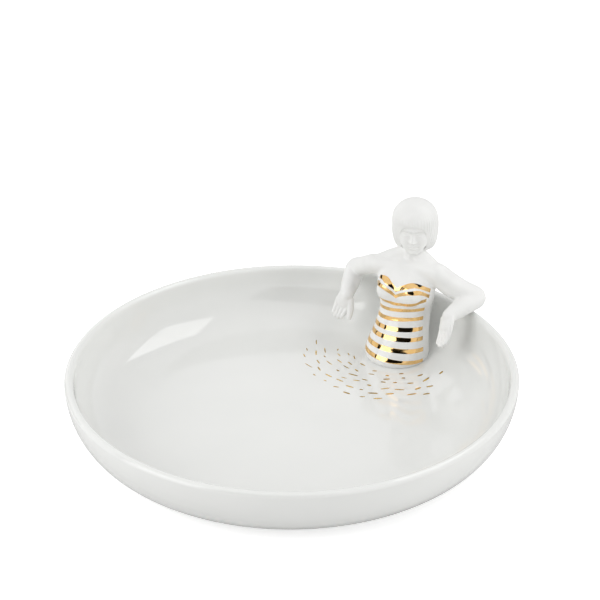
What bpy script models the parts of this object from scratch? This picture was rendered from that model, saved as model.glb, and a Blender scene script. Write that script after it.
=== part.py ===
# A shallow porcelain bowl. A small figure leans back against its wall, with both forearms
# hanging in over the rim, and wears a suit of gold bands. The figure is cast in four pieces,
# luted to one another and to the bowl.
#
# The bowl's axis is the Z axis and its foot ring stands on Z = 0. The figure looks along -Y,
# and its left is +X.

import math

import bmesh
import bpy
import numpy
from mathutils import Euler, Matrix, Vector
from mathutils.bvhtree import BVHTree

# Bowl
BOWL_DIAMETER = 0.210
BOWL_HEIGHT = 0.032
WALL_THICKNESS = 0.0042
FLOOR_THICKNESS = 0.005
FOOT_HEIGHT = 0.0015
FOOT_WIDTH = 0.004
FOOT_DRAFT = 0.0005
OUTER_FLAT_SHARE = 0.656
INNER_FLAT_SHARE = 0.667
WALL_CURVE_SHARES = (0.6986, 0.921)
BOWL_STEPS = 72
WALL_POINTS = 8
RIM_POINTS = 6

# Clearances
SEAT_GAP = 0.0003
SEAM_GAP = 0.0003
GOLD_GAP = 0.0002

# Figure: where it sits, and its torso
FIGURE_TURN = math.radians(11.0)
BASE_RADIUS = 0.0156
BASE_TO_WALL = 0.0074
BASE_SINK = 0.0015
TORSO_HEIGHT = 0.048
NECK_RADIUS = 0.0041
NECK_RISE = 0.0075
NECK_LEAN_SHARE = 0.865
NECK_SEAM_SHARE = 1.021
NECK_FOOT_SHARE = 1.15
# Along the nape's fall to the shoulder, and its lift as a share of NECK_RADIUS
NAPE_PLACE_SHARES = (0.50, 0.30)
NAPE_RADIUS_SHARES = (1.00, 0.88, 0.95)
GIRDLE_SHARE = 0.75
SHOULDER_SEAM_SHARE = 1.077
BUST_RADIUS = 0.0062
BUST_DEPTH_SHARE = 0.65
# Distance to the side as a share of BUST_RADIUS, and height as a share of TORSO_HEIGHT
BUST_PLACE_SHARES = (0.93, 0.695)

# Height as a share of TORSO_HEIGHT, then the lean back, half width and half depth as shares
# of BASE_RADIUS
TORSO_SHARES = (
    (-0.04, 0.00, 1.00, 1.00),
    (0.00, 0.00, 1.00, 1.00),
    (0.05, 0.01, 1.03, 1.03),
    (0.135, 0.09, 0.985, 0.93),
    (0.24, 0.24, 0.91, 0.78),
    (0.32, 0.35, 0.87, 0.71),
    (0.39, 0.45, 0.85, 0.67),
    (0.48, 0.53, 0.845, 0.655),
    (0.56, 0.53, 0.90, 0.67),
    (0.66, 0.52, 0.945, 0.71),
    (0.74, 0.55, 0.97, 0.72),
    (0.82, 0.62, 0.99, 0.66),
    (0.91, 0.72, 0.94, 0.50),
    (1.00, 0.84, 0.60, 0.30),
)
TORSO_RINGS = 48
RING_POINTS = 60

# Arms: places to the side, to the back and up. A shoulder's are shares of BASE_RADIUS twice and
# of TORSO_HEIGHT, above the bowl's floor. The others' are shares of FOREARM_LENGTH, above its rim.
ARM_RADIUS = 0.0052
ARM_RADIUS_SHARES = (1.00, 0.95, 0.93, 0.92, 0.94, 0.86, 0.66)
ARM_KNOT_SHARES = (0, 0.33, 0.66, 1)
FOREARM_LENGTH = 0.018
LEFT_ARM = {
    "side": 1,
    "shoulder_shares": (1.045, 0.615, 0.925),
    "elbow_shares": (1.839, 1.050, 0.333),
    "wrist_shares": (1.489, 0.111, 0.111),
    "tip_shares": (1.505, -0.400, -0.640),
    "palm_turn": math.radians(-30),
    "thumb_shares": (-0.05, 0.45),
}
RIGHT_ARM = {
    "side": -1,
    "shoulder_shares": (-1.205, 0.564, 0.850),
    "elbow_shares": (-1.956, 1.139, 0.211),
    "wrist_shares": (-1.611, 0.044, -0.039),
    "tip_shares": (-1.800, -0.245, -0.715),
    "palm_turn": math.radians(12),
    "thumb_shares": (0.42, 0.00),
}
CUT_OVERRUN = 0.060

# Hands
PALM_WIDTH = 0.0088
PALM_THICKNESS = 0.0044
FINGER_RADIUS = 0.0013
FINGER_SPREAD = 0.0020
FINGER_LENGTH_SHARES = (0.88, 1.00, 0.96, 0.80)
FINGER_RADIUS_SHARES = (1.00, 1.00, 0.86)
FINGER_CLOSE_SHARE = 0.80
FINGER_BEND_SHARE = 0.35
THUMB_LENGTH = 0.0088
THUMB_RADIUS_SHARES = (1.45, 1.30, 1.00)
THUMB_BEND_SHARE = 0.40
THUMB_ROOT_SHARE = 0.30
# The palm's length as a share of the hand's, then its middle and half length as shares of its own
PALM_LENGTH_SHARE = 0.46
PALM_MIDDLE_SHARE = 0.45
PALM_REACH_SHARE = 0.75

# Head, as shares of its height from chin to crown, without the hair
HEAD_HEIGHT = 0.0250
HEAD_BACK_SHARE = 0.088
HEAD_RISE_SHARE = 0.316
HEAD_TURN = math.radians(22.0)
HEAD_BOW = math.radians(6.0)
# Height, half width, front and back of the skull, whose sections are squarer than an oval
SKULL_SHARES = (
    (-0.47, 0.075, 0.31, -0.13),
    (-0.45, 0.125, 0.342, -0.04),
    (-0.41, 0.175, 0.360, 0.05),
    (-0.32, 0.245, 0.365, 0.17),
    (-0.20, 0.295, 0.368, 0.27),
    (-0.05, 0.320, 0.370, 0.35),
    (0.10, 0.330, 0.378, 0.40),
    (0.25, 0.325, 0.370, 0.41),
    (0.37, 0.280, 0.315, 0.37),
    (0.46, 0.18, 0.20, 0.26),
    (0.50, 0.03, 0.03, 0.04),
)
SKULL_POWER = 2.3
# Forms that rise from the front of the skull or sink into it: place to the side and up, spread
# to the side and up, and rise. Each that is off the middle has its twin on the other side.
FACE_SHARES = (
    (0.000, 0.060, 0.055, 0.040, 0.008),
    (0.120, 0.090, 0.080, 0.024, 0.020),
    (0.130, 0.018, 0.060, 0.042, -0.050),
    (0.130, 0.000, 0.048, 0.027, 0.042),
    (0.130, 0.033, 0.055, 0.008, -0.014),
    (0.130, -0.034, 0.045, 0.010, 0.006),
    (0.000, 0.030, 0.022, 0.035, 0.016),
    (0.000, -0.020, 0.024, 0.035, 0.028),
    (0.000, -0.070, 0.027, 0.035, 0.038),
    (0.000, -0.112, 0.031, 0.030, 0.046),
    (0.000, -0.146, 0.036, 0.022, 0.050),
    (0.046, -0.158, 0.022, 0.019, 0.032),
    (0.200, -0.085, 0.070, 0.070, 0.014),
    (0.105, -0.220, 0.030, 0.050, -0.006),
    (0.000, -0.260, 0.076, 0.015, 0.024),
    (0.000, -0.281, 0.076, 0.006, -0.030),
    (0.000, -0.302, 0.056, 0.016, 0.030),
    (0.000, -0.342, 0.065, 0.018, -0.014),
    (0.000, -0.408, 0.080, 0.042, 0.020),
)
SKULL_RINGS = 120
SKULL_POINTS = 140
# Height, half width, front and back of the bobbed hair
HAIR_SHARES = (
    (-0.53, 0.325, 0.10, 0.34),
    (-0.46, 0.395, 0.17, 0.42),
    (-0.25, 0.442, 0.28, 0.48),
    (0.05, 0.456, 0.375, 0.50),
    (0.25, 0.432, 0.405, 0.48),
    (0.40, 0.354, 0.335, 0.39),
    (0.50, 0.22, 0.20, 0.25),
    (0.54, 0.05, 0.05, 0.06),
)
HAIR_RINGS = 40
# The opening of the hair round the face: its middle's height, half width and half height, then
# how deep each of its two ends lies and how much wider or narrower than the middle it is
HAIR_WINDOW_SHARES = (-0.24, 0.272, 0.43)
HAIR_WINDOW_END_SHARES = ((-0.80, 1.25), (-0.12, 0.88))
HAIR_WINDOW_POWER = 2.8
HAIR_WINDOW_POINTS = 48

# Fineness of the modelled forms
BODY_VOXEL = 0.0006
FIGURE_VOXEL = 0.00042
HEAD_VOXEL = 0.00030
TORSO_SMOOTHING = 16
BODY_SMOOTHING = 10
FIGURE_SMOOTHING = 3
HEAD_SMOOTHING = 2
FIGURE_FACE_SHARE = 0.044
HEAD_FACE_SHARE = 0.040

# Gold bands, laid on the front of the torso from side to side
BAND_WIDTH = 0.0018
BAND_THICKNESS = 0.00025
BAND_SWEEP = math.radians(80)
BAND_COLUMNS = 26
CURVED_BAND_ROW_COUNT = 3
STRAIGHT_BAND_ROW_COUNT = 2
# The height of a curved band's dip, of the lobe over each side of the bust, and the drop
# towards the arms, as shares of TORSO_HEIGHT, then its reach to the right and to the left as
# shares of BAND_SWEEP
NECKLINE_SHARES = (0.757, 0.088, 0.033, 0.74, 0.97)
BUST_BAND_SHARES = (0.688, 0.092, 0.036, 0.93, 0.97)
# Each straight band's height, rise towards the figure's left, drop at the sides and dip between
# the bust's sides as shares of TORSO_HEIGHT, then its reach to the right and to the left as
# shares of BAND_SWEEP
WAIST_BAND_SHARES = (
    (0.620, 0.021, -0.020, 0.024, 0.92, 0.90),
    (0.522, 0.037, 0.010, 0.000, 0.88, 0.88),
    (0.424, 0.029, 0.008, 0.000, 0.89, 0.89),
    (0.334, 0.017, 0.010, 0.000, 0.92, 0.92),
    (0.255, 0.006, 0.015, 0.000, 0.96, 0.96),
    (0.168, 0.000, 0.025, 0.000, 0.99, 0.99),
    (0.081, -0.015, 0.033, 0.000, 1.00, 1.00),
)

GLAZE = {"colour": (0.86, 0.87, 0.85), "roughness": 0.12, "metallic": 0.0}
BISQUE = {"colour": (0.90, 0.90, 0.89), "roughness": 0.45, "metallic": 0.0}
GOLD = {"colour": (0.85, 0.60, 0.26), "roughness": 0.12, "metallic": 1.0}

RIM_RADIUS = BOWL_DIAMETER / 2
FLOOR_TOP = FOOT_HEIGHT + FLOOR_THICKNESS
BASE_DISTANCE = RIM_RADIUS - WALL_THICKNESS - BASE_TO_WALL - BASE_RADIUS
FIGURE_ORIGIN = Vector((BASE_DISTANCE * math.sin(FIGURE_TURN),
                        BASE_DISTANCE * math.cos(FIGURE_TURN), FLOOR_TOP))
RIM_RISE = BOWL_HEIGHT - FLOOR_TOP
NECK_LEAN = NECK_LEAN_SHARE * BASE_RADIUS
NECK_TOP = TORSO_HEIGHT + NECK_RISE


# Helpers

def clear_scene():
    for item in list(bpy.data.objects):
        bpy.data.objects.remove(item, do_unlink=True)


def new_collection(name):
    group = bpy.data.collections.new(name)
    bpy.context.scene.collection.children.link(group)
    return group


def material(name, look):
    surface = bpy.data.materials.new(name)
    surface.use_nodes = True
    shader = surface.node_tree.nodes["Principled BSDF"]
    shader.inputs["Base Color"].default_value = (*look["colour"], 1)
    shader.inputs["Roughness"].default_value = look["roughness"]
    shader.inputs["Metallic"].default_value = look["metallic"]
    return surface


def part(name, mesh, surface):
    item = bpy.data.objects.new(name, mesh)
    mesh.materials.clear()
    mesh.materials.append(surface)
    mesh.shade_smooth()
    mesh.set_sharp_from_angle(angle=math.radians(40))
    parts.objects.link(item)
    return item


def guide(name, mesh):
    item = bpy.data.objects.new(name, mesh)
    item.hide_render = True
    item.display_type = "WIRE"
    guides.objects.link(item)
    return item


def mesh_from(shape, name):
    mesh = bpy.data.meshes.new(name)
    bmesh.ops.recalc_face_normals(shape, faces=shape.faces)
    shape.to_mesh(mesh)
    shape.free()
    return mesh


def evaluated_mesh(item):
    graph = bpy.context.evaluated_depsgraph_get()
    return bpy.data.meshes.new_from_object(item.evaluated_get(graph))


def boolean(item, cutter, operation):
    cut = item.modifiers.new(cutter.name, "BOOLEAN")
    cut.operation = operation
    cut.object = cutter


# A smooth run through rows of numbers, which may be points, radii or section sizes
def smooth_rows(rows, count):
    rows = [Vector(row) for row in rows]
    padded = [2 * rows[0] - rows[1]] + rows + [2 * rows[-1] - rows[-2]]
    run = []
    for index in range(count):
        place = index * (len(rows) - 1) / (count - 1)
        start = min(int(place), len(rows) - 2)
        t = place - start
        a, b, c, d = padded[start:start + 4]
        run.append(0.5 * (2 * b + (c - a) * t + (2 * a - 5 * b + 4 * c - d) * t ** 2
                          + (3 * b - a - 3 * c + d) * t ** 3))
    return run


# A loft through rings of points, capped at both ends
def add_loft(shape, rings):
    loops = [[shape.verts.new(point) for point in ring] for ring in rings]
    for lower, upper in zip(loops, loops[1:]):
        for index in range(len(lower)):
            after = (index + 1) % len(lower)
            shape.faces.new((lower[index], lower[after], upper[after], upper[index]))
    shape.faces.new(loops[0])
    shape.faces.new(loops[-1])


def add_ball(shape, centre, radii, turn=Matrix.Identity(4)):
    size = Matrix.Diagonal((*radii, 1))
    bmesh.ops.create_uvsphere(shape, u_segments=24, v_segments=16, radius=1,
                              matrix=Matrix.Translation(centre) @ turn @ size)


# A tapering tube with round ends along a run of points
def add_tube(shape, points, radii):
    count = 4 * len(points)
    run = smooth_rows([(*point, radius) for point, radius in zip(points, radii)], count)
    ends = [math.radians(angle) for angle in (80, 55, 30)]
    first, last = run[0], run[-1]
    back = (first.xyz - run[1].xyz).normalized() * first.w
    ahead = (last.xyz - run[-2].xyz).normalized() * last.w
    head = [(*(first.xyz + back * math.sin(a)), first.w * math.cos(a)) for a in ends]
    tail = [(*(last.xyz + ahead * math.sin(a)), last.w * math.cos(a)) for a in reversed(ends)]
    run = head + [tuple(row) for row in run] + tail
    curve = bpy.data.curves.new("tube", "CURVE")
    curve.dimensions = "3D"
    curve.bevel_depth = 1
    curve.bevel_resolution = 4
    curve.use_fill_caps = True
    spline = curve.splines.new("POLY")
    spline.points.add(len(run) - 1)
    for point, row in zip(spline.points, run):
        point.co = (*row[:3], 1)
        point.radius = row[3]
    holder = guide("tube", curve)
    bpy.context.view_layer.update()
    mesh = evaluated_mesh(holder)
    bpy.data.objects.remove(holder)
    shape.from_mesh(mesh)
    bmesh.ops.remove_doubles(shape, verts=shape.verts, dist=SEAM_GAP / 100)


# A level oval section that reaches unlike distances to the front and the back
def section(height, half_width, front, back, count):
    middle = (back - front) / 2
    half_depth = (back + front) / 2
    ring = []
    for index in range(count):
        angle = 2 * math.pi * index / count
        ring.append(Vector((half_width * math.cos(angle), middle + half_depth * math.sin(angle), height)))
    return ring


# Several overlapping forms run together into one smooth skin
def blended(name, mesh, voxel, smoothing, face_share=1):
    form = guide(name, mesh)
    remesh = form.modifiers.new("Blend", "REMESH")
    remesh.mode = "VOXEL"
    remesh.voxel_size = voxel
    soften = form.modifiers.new("Soften", "SMOOTH")
    soften.factor = 0.5
    soften.iterations = smoothing
    if face_share < 1:
        reduce = form.modifiers.new("Reduce", "DECIMATE")
        reduce.ratio = face_share
    bpy.context.view_layer.update()
    skin = evaluated_mesh(form)
    bpy.data.objects.remove(form)
    return skin


def box(name, low, high):
    shape = bmesh.new()
    low, high = Vector(low), Vector(high)
    size = Matrix.Diagonal((*(high - low), 1))
    bmesh.ops.create_cube(shape, size=1, matrix=Matrix.Translation((low + high) / 2) @ size)
    return guide(name, mesh_from(shape, name))


# Bowl

# One side of the wall, from the flat of the floor up to where the rim's round begins
def wall_side(flat, radius, floor, top, rim_height):
    run = []
    rise, spread = WALL_CURVE_SHARES[1], WALL_CURVE_SHARES[0]
    end = math.acos((1 - (rim_height - floor) / (top - floor)) ** (1 / rise))
    for index in range(WALL_POINTS + 1):
        angle = end * index / WALL_POINTS
        run.append((flat + (radius - flat) * math.sin(angle) ** spread,
                    floor + (top - floor) * (1 - math.cos(angle) ** rise)))
    return run


# The height of the rim's widest line, and the radius there of the wall's middle
def rim_spring():
    return BOWL_HEIGHT - WALL_THICKNESS / 2, RIM_RADIUS - WALL_THICKNESS / 2


# The inside of the bowl from its axis over the rim, moved out by a clearance
def inside_outline(grow):
    rim_height, rim_middle = rim_spring()
    rim_round = WALL_THICKNESS / 2 + grow
    inner = wall_side(RIM_RADIUS * INNER_FLAT_SHARE - grow, rim_middle - rim_round,
                      FLOOR_TOP + grow, BOWL_HEIGHT + grow, rim_height)
    rim = []
    for index in range(1, RIM_POINTS):
        angle = math.pi * index / RIM_POINTS
        rim.append((rim_middle - rim_round * math.cos(angle), rim_height + rim_round * math.sin(angle)))
    return [(0, FLOOR_TOP + grow)] + inner + rim


def bowl_outline():
    rim_height, rim_middle = rim_spring()
    flat = RIM_RADIUS * OUTER_FLAT_SHARE
    outer = wall_side(flat, RIM_RADIUS, FOOT_HEIGHT, BOWL_HEIGHT, rim_height)
    foot = [(flat - FOOT_DRAFT, 0), (flat - FOOT_DRAFT - FOOT_WIDTH, 0),
            (flat - 2 * FOOT_DRAFT - FOOT_WIDTH, FOOT_HEIGHT)]
    return inside_outline(0) + outer[::-1] + foot + [(0, FOOT_HEIGHT)]


# The room that the figure has to leave: the bowl with its clearance, solid down to its foot
def seat_outline():
    rim_height, rim_middle = rim_spring()
    edge = RIM_RADIUS + SEAT_GAP
    return inside_outline(SEAT_GAP) + [(edge, rim_height), (edge, 0), (0, 0)]


def turned(item):
    screw = item.modifiers.new("Turn", "SCREW")
    screw.steps = BOWL_STEPS
    screw.render_steps = BOWL_STEPS
    screw.use_merge_vertices = True
    screw.merge_threshold = SEAM_GAP / 100


def profile_mesh(name, outline):
    mesh = bpy.data.meshes.new(name)
    points = [(radius, 0, height) for radius, height in outline]
    mesh.from_pydata(points, [(index, index + 1) for index in range(len(points) - 1)], [])
    return mesh


def bowl():
    turned(part("bowl", profile_mesh("bowl", bowl_outline()), glaze))


def bowl_seat():
    seat = guide("bowl_seat", profile_mesh("bowl_seat", seat_outline()))
    turned(seat)
    return seat


# Figure

def from_floor(place):
    return FIGURE_ORIGIN + Vector(place)


def from_rim(place):
    return FIGURE_ORIGIN + Vector(place) + Vector((0, 0, RIM_RISE))


def add_torso(shape):
    rings = []
    for height, lean, width, depth in smooth_rows(TORSO_SHARES, TORSO_RINGS):
        ring = section(height * TORSO_HEIGHT, width * BASE_RADIUS, (depth - lean) * BASE_RADIUS,
                       (depth + lean) * BASE_RADIUS, RING_POINTS)
        rings.append([from_floor(point) for point in ring])
    bottom = [Vector((point.x, point.y, FLOOR_TOP - BASE_SINK)) for point in rings[0]]
    add_loft(shape, [bottom] + rings[1:])
    for side in (-1, 1):
        spread, height = BUST_PLACE_SHARES
        add_ball(shape, from_floor((side * spread * BUST_RADIUS, 0, height * TORSO_HEIGHT)),
                 (BUST_RADIUS, BUST_RADIUS * BUST_DEPTH_SHARE, BUST_RADIUS))


def add_neck(shape):
    foot = from_floor((0, NECK_LEAN - NECK_RADIUS / 2, TORSO_HEIGHT - 2 * NECK_RADIUS))
    top = from_floor((0, NECK_LEAN + NECK_RADIUS / 4, NECK_TOP))
    middle = (foot + top) / 2
    add_tube(shape, [foot, middle, top], [NECK_FOOT_SHARE * NECK_RADIUS, NECK_RADIUS, NECK_RADIUS])


# The shoulders, from one to the other, and the muscle that falls from the neck to each
def add_girdle(shape, left, right):
    middle = from_floor((0, NECK_LEAN - NECK_RADIUS, TORSO_HEIGHT - NECK_RADIUS))
    radius = ARM_RADIUS * ARM_RADIUS_SHARES[0]
    add_tube(shape, [left, middle, right], [radius, GIRDLE_SHARE * radius, radius])
    nape = from_floor((0, NECK_LEAN + NECK_RADIUS / 3, TORSO_HEIGHT + NECK_RADIUS / 2))
    along, lift = NAPE_PLACE_SHARES
    for shoulder in (left, right):
        fall = nape.lerp(shoulder, along) + Vector((0, 0, lift * NECK_RADIUS))
        add_tube(shape, [nape, fall, shoulder], [NECK_RADIUS * share for share in NAPE_RADIUS_SHARES])


def arm_points(arm):
    sideways, back, rise = arm["shoulder_shares"]
    place = {"shoulder": from_floor((sideways * BASE_RADIUS, back * BASE_RADIUS, rise * TORSO_HEIGHT))}
    for name in ("elbow", "wrist", "tip"):
        place[name] = from_rim(Vector(arm[f"{name}_shares"]) * FOREARM_LENGTH)
    return place


def add_arm(shape, arm):
    place = arm_points(arm)
    points = [place["shoulder"].lerp(place["elbow"], share) for share in ARM_KNOT_SHARES]
    points += [place["elbow"].lerp(place["wrist"], share) for share in ARM_KNOT_SHARES[1:]]
    add_tube(shape, points, [ARM_RADIUS * share for share in ARM_RADIUS_SHARES])


# A hand's wrist and length, and its directions along, across and out of the palm
def hand_frame(arm):
    place = arm_points(arm)
    reach = place["tip"] - place["wrist"]
    along = reach.normalized()
    level = Vector((math.cos(arm["palm_turn"]), math.sin(arm["palm_turn"]), 0))
    across = (level - along * along.dot(level)).normalized() * arm["side"]
    return place["wrist"], reach.length, along, across, across.cross(along)


def add_palm(shape, arm):
    wrist, reach, along, across, facing = hand_frame(arm)
    turn = Matrix((across, facing, along)).transposed().to_4x4()
    palm_length = reach * PALM_LENGTH_SHARE
    add_ball(shape, wrist + along * palm_length * PALM_MIDDLE_SHARE,
             (PALM_WIDTH / 2, PALM_THICKNESS / 2, palm_length * PALM_REACH_SHARE), turn)


def add_fingers(shape, arm):
    wrist, reach, along, across, facing = hand_frame(arm)
    palm_length = reach * PALM_LENGTH_SHARE
    knuckles = wrist + along * palm_length
    row_middle = (len(FINGER_LENGTH_SHARES) - 1) / 2
    for index, share in enumerate(FINGER_LENGTH_SHARES):
        offset = across * FINGER_SPREAD * (index - row_middle)
        root = knuckles + offset - along * 2 * FINGER_RADIUS
        tip = knuckles + offset * FINGER_CLOSE_SHARE + along * ((reach - palm_length) * share - FINGER_RADIUS)
        bend = (root + tip) / 2 + facing * FINGER_RADIUS * FINGER_BEND_SHARE * arm["side"]
        add_tube(shape, [root, bend, tip], [FINGER_RADIUS * share for share in FINGER_RADIUS_SHARES])
    root = wrist + (along * palm_length - across * PALM_WIDTH) * THUMB_ROOT_SHARE
    spread, back = arm["thumb_shares"]
    tip = root + (along - across * spread + Vector((0, back, 0))).normalized() * THUMB_LENGTH
    bend = (root + tip) / 2 - across * FINGER_RADIUS * THUMB_BEND_SHARE
    add_tube(shape, [root, bend, tip], [FINGER_RADIUS * share for share in THUMB_RADIUS_SHARES])


# The torso is softened alone, then again with the neck, arms and palms, and the fingers least
def figure_skin():
    torso = bmesh.new()
    add_torso(torso)
    body = bmesh.new()
    body.from_mesh(blended("torso_form", mesh_from(torso, "torso_form"), BODY_VOXEL, TORSO_SMOOTHING))
    add_neck(body)
    add_girdle(body, *[arm_points(arm)["shoulder"] for arm in (LEFT_ARM, RIGHT_ARM)])
    for arm in (LEFT_ARM, RIGHT_ARM):
        add_arm(body, arm)
        add_palm(body, arm)
    shape = bmesh.new()
    shape.from_mesh(blended("body_form", mesh_from(body, "body_form"), BODY_VOXEL, BODY_SMOOTHING))
    for arm in (LEFT_ARM, RIGHT_ARM):
        add_fingers(shape, arm)
    return blended("figure_form", mesh_from(shape, "figure_form"), FIGURE_VOXEL, FIGURE_SMOOTHING,
                   FIGURE_FACE_SHARE)


# The space beyond the seam at one shoulder
def arm_space(arm, margin):
    low = arm_points(arm)["tip"].z - 2 * FINGER_RADIUS
    seam = FIGURE_ORIGIN.x + arm["side"] * (SHOULDER_SEAM_SHARE * BASE_RADIUS + margin)
    far = FIGURE_ORIGIN.x + arm["side"] * CUT_OVERRUN
    near_y, far_y = FIGURE_ORIGIN.y - CUT_OVERRUN, FIGURE_ORIGIN.y + CUT_OVERRUN
    return box("arm_space", (min(seam, far), near_y, low), (max(seam, far), far_y, low + 2 * CUT_OVERRUN))


# The space above the seam in the neck, or below it
def neck_space(name, side):
    seam = from_floor((0, 0, NECK_SEAM_SHARE * TORSO_HEIGHT - side * SEAM_GAP / 2))
    spread = Vector((CUT_OVERRUN, CUT_OVERRUN, 0))
    far = seam + Vector((0, 0, side * CUT_OVERRUN))
    return box(name, min(seam, far, key=lambda place: place.z) - spread,
               max(seam, far, key=lambda place: place.z) + spread)


# Returns the torso's skin as it is before the bowl's room is cut out of it
def figure_body(seat):
    skin = figure_skin()
    torso = part("figure_torso", skin, bisque)
    boolean(torso, neck_space("head_space", 1), "DIFFERENCE")
    for name, arm in (("figure_left_arm", LEFT_ARM), ("figure_right_arm", RIGHT_ARM)):
        boolean(torso, arm_space(arm, -SEAM_GAP / 2), "DIFFERENCE")
        limb = part(name, skin.copy(), bisque)
        boolean(limb, arm_space(arm, SEAM_GAP / 2), "INTERSECT")
        boolean(limb, seat, "DIFFERENCE")
    bpy.context.view_layer.update()
    whole_torso = BVHTree.FromObject(torso, bpy.context.evaluated_depsgraph_get())
    boolean(torso, seat, "DIFFERENCE")
    return whole_torso


# Head

def head_pose():
    centre = from_floor((0, NECK_LEAN + HEAD_BACK_SHARE * HEAD_HEIGHT,
                         NECK_TOP + HEAD_RISE_SHARE * HEAD_HEIGHT))
    return Matrix.Translation(centre) @ Euler((HEAD_BOW, 0, HEAD_TURN)).to_matrix().to_4x4()


# An oval outline, squarer than an ellipse where the power is over 2
def squared_oval(half_width, half_height, power, count):
    outline = []
    for index in range(count):
        angle = 2 * math.pi * index / count
        across, up = math.cos(angle), math.sin(angle)
        outline.append((math.copysign(abs(across) ** (2 / power), across) * half_width,
                        math.copysign(abs(up) ** (2 / power), up) * half_height))
    return outline


def face_rise(x, height, depth_share):
    rise = 0
    for side_place, place, wide, tall, share in FACE_SHARES:
        for side in ((-1, 1) if side_place else (1,)):
            off = ((x - side * side_place) / wide) ** 2 + ((height - place) / tall) ** 2
            rise += share * math.exp(-off / 2)
    return rise * math.sqrt(depth_share)


def add_face(shape):
    rings = []
    for height, width, front, back in smooth_rows(SKULL_SHARES, SKULL_RINGS):
        middle, half_depth = (back - front) / 2, (back + front) / 2
        ring = []
        for x, depth in squared_oval(width, half_depth, SKULL_POWER, SKULL_POINTS):
            rise = face_rise(x, height, max(-depth / half_depth, 0))
            ring.append(Vector((x, middle + depth - rise, height)) * HEAD_HEIGHT)
        rings.append(ring)
    add_loft(shape, rings)


def hair_mesh():
    shape = bmesh.new()
    rings = []
    for height, width, front, back in smooth_rows(HAIR_SHARES, HAIR_RINGS):
        rings.append(section(height * HEAD_HEIGHT, width * HEAD_HEIGHT, front * HEAD_HEIGHT,
                             back * HEAD_HEIGHT, RING_POINTS))
    add_loft(shape, rings)
    hair = guide("hair", mesh_from(shape, "hair"))
    middle, half_width, half_height = HAIR_WINDOW_SHARES
    outline = squared_oval(half_width, half_height, HAIR_WINDOW_POWER, HAIR_WINDOW_POINTS)
    opening = bmesh.new()
    add_loft(opening, [[Vector((x * share, depth, (z + middle) * share)) * HEAD_HEIGHT for x, z in outline]
                       for depth, share in HAIR_WINDOW_END_SHARES])
    window = guide("hair_window", mesh_from(opening, "hair_window"))
    boolean(hair, window, "DIFFERENCE")
    bpy.context.view_layer.update()
    mesh = evaluated_mesh(hair)
    bpy.data.objects.remove(hair)
    return mesh


def figure_head():
    face = bmesh.new()
    add_face(face)
    shape = bmesh.new()
    shape.from_mesh(mesh_from(face, "face"))
    shape.from_mesh(hair_mesh())
    bmesh.ops.transform(shape, matrix=head_pose(), verts=shape.verts)
    add_neck(shape)
    skin = blended("head_form", mesh_from(shape, "head_form"), HEAD_VOXEL, HEAD_SMOOTHING, HEAD_FACE_SHARE)
    boolean(part("figure_head", skin, bisque), neck_space("torso_space", -1), "DIFFERENCE")


# Gold bands

# The point on the torso's skin at a height, seen at an angle from straight ahead
def on_skin(skin, angle, height):
    heights = [row[0] * TORSO_HEIGHT for row in TORSO_SHARES]
    leans = [row[1] * BASE_RADIUS for row in TORSO_SHARES]
    axis = from_floor((0, numpy.interp(height, heights, leans), height))
    outward = Vector((math.sin(angle), -math.cos(angle), 0))
    place, normal, face, distance = skin.ray_cast(axis + outward * 2 * BASE_RADIUS, -outward)
    return axis, outward, place, normal


# A point of a band's back, clear of the skin for half a step each way
def clear_of_skin(skin, angle, height, angle_step, height_step):
    reach = 0
    for turn in (-angle_step / 2, 0, angle_step / 2):
        for rise in (-height_step / 2, 0, height_step / 2):
            axis, outward, place, normal = on_skin(skin, angle + turn, height + rise)
            reach = max(reach, (place - axis).length)
    axis, outward, place, normal = on_skin(skin, angle, height)
    return axis + outward * reach + normal * GOLD_GAP


def curved_line(shares):
    dip, lobe, drop = (share * TORSO_HEIGHT for share in shares[:3])
    return lambda angle: dip + lobe * abs(math.sin(2 * angle)) - drop * math.sin(angle) ** 4


def straight_line(shares):
    height, rise, drop, dip = (share * TORSO_HEIGHT for share in shares[:4])
    return lambda angle: (height + rise * math.sin(angle) - drop * (1 - math.cos(angle))
                          - dip * math.cos(angle) ** 8)


def gold_band(name, skin, seat, line, reach_shares, rows):
    right, left = (share * BAND_SWEEP for share in reach_shares)
    half = BAND_COLUMNS // 2
    angles = [right * (column / half - 1) for column in range(half)]
    angles += [left * column / half for column in range(half + 1)]
    points = []
    for row in range(rows + 1):
        for angle in angles:
            height = line(angle) + BAND_WIDTH * (row / rows - 0.5)
            points.append(clear_of_skin(skin, angle, height, BAND_SWEEP / half, BAND_WIDTH / rows))
    faces = []
    for row in range(rows):
        for column in range(BAND_COLUMNS):
            corner = row * (BAND_COLUMNS + 1) + column
            faces.append((corner, corner + 1, corner + BAND_COLUMNS + 2, corner + BAND_COLUMNS + 1))
    mesh = bpy.data.meshes.new(name)
    mesh.from_pydata(points, [], faces)
    band = part(name, mesh, gold)
    thicken = band.modifiers.new("Thickness", "SOLIDIFY")
    thicken.thickness = BAND_THICKNESS
    thicken.offset = 1
    boolean(band, seat, "DIFFERENCE")


def gold_bands(skin, seat):
    for name, shares in (("gold_neckline_band", NECKLINE_SHARES), ("gold_bust_band", BUST_BAND_SHARES)):
        gold_band(name, skin, seat, curved_line(shares), shares[3:], CURVED_BAND_ROW_COUNT)
    for number, shares in enumerate(WAIST_BAND_SHARES, 1):
        gold_band(f"gold_band_{number}", skin, seat, straight_line(shares), shares[4:],
                  STRAIGHT_BAND_ROW_COUNT)


clear_scene()
parts = new_collection("porcelain_bowl")
guides = new_collection("guides")
glaze = material("porcelain_glaze", GLAZE)
bisque = material("porcelain_bisque", BISQUE)
gold = material("gold_lustre", GOLD)
bowl()
seat_room = bowl_seat()
gold_bands(figure_body(seat_room), seat_room)
figure_head()
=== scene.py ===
import math
import random

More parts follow.
